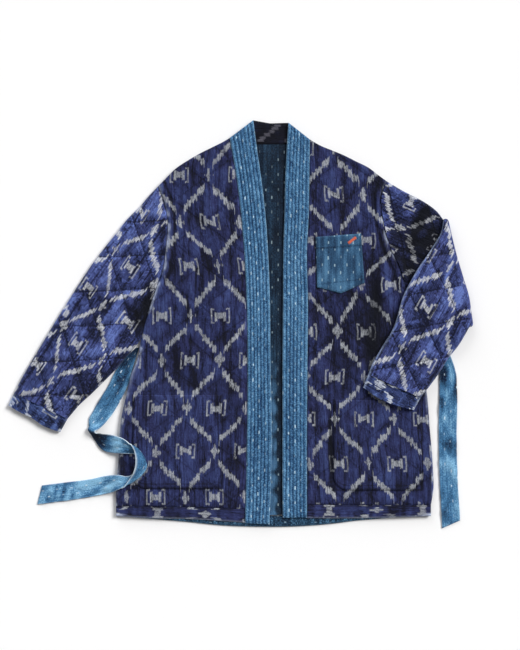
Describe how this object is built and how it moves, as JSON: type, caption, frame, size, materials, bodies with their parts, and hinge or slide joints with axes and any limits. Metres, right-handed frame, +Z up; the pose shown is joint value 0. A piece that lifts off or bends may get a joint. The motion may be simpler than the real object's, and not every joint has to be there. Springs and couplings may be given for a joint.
{
  "type": "hanten",
  "caption": "Padded, quilted hip-length jacket laid flat, open in front, with a ribbed band collar, patch pockets, cloth ties and one sleeve folded over the front.",
  "frame": {"origin": "on the surface the garment lies on, under the middle of its outline", "axes": "+Z up from the surface, +Y towards the neck, +X towards the wearer's left side"},
  "size_m": [0.9298, 0.8175, 0.0284],
  "materials": {
    "kasuri": "indigo woven cotton with a pale blurred lattice, matt",
    "collar_cloth": "mid blue woven cotton with small pale dashes, matt",
    "lining": "dark blue woven cotton with small pale dashes, matt",
    "tie_cloth": "mid blue woven cotton with small pale dashes, matt"
  },
  "bodies": {
    "root": {"back": "kasuri", "front_right": "kasuri", "front_left": "kasuri", "hem_front_right": "kasuri", "hem_front_left": "kasuri", "hem_back": "lining", "sleeve_right": "kasuri", "sleeve_left": "kasuri", "cuff_right": "kasuri", "cuff_left": "kasuri", "collar_right": "collar_cloth", "collar_left": "collar_cloth", "collar_back": "kasuri", "chest_pocket": "collar_cloth", "hip_pocket_right": "kasuri", "hip_pocket_left": "kasuri", "tie_right": "tie_cloth", "tie_left": "tie_cloth"}
  },
  "joints": []
}
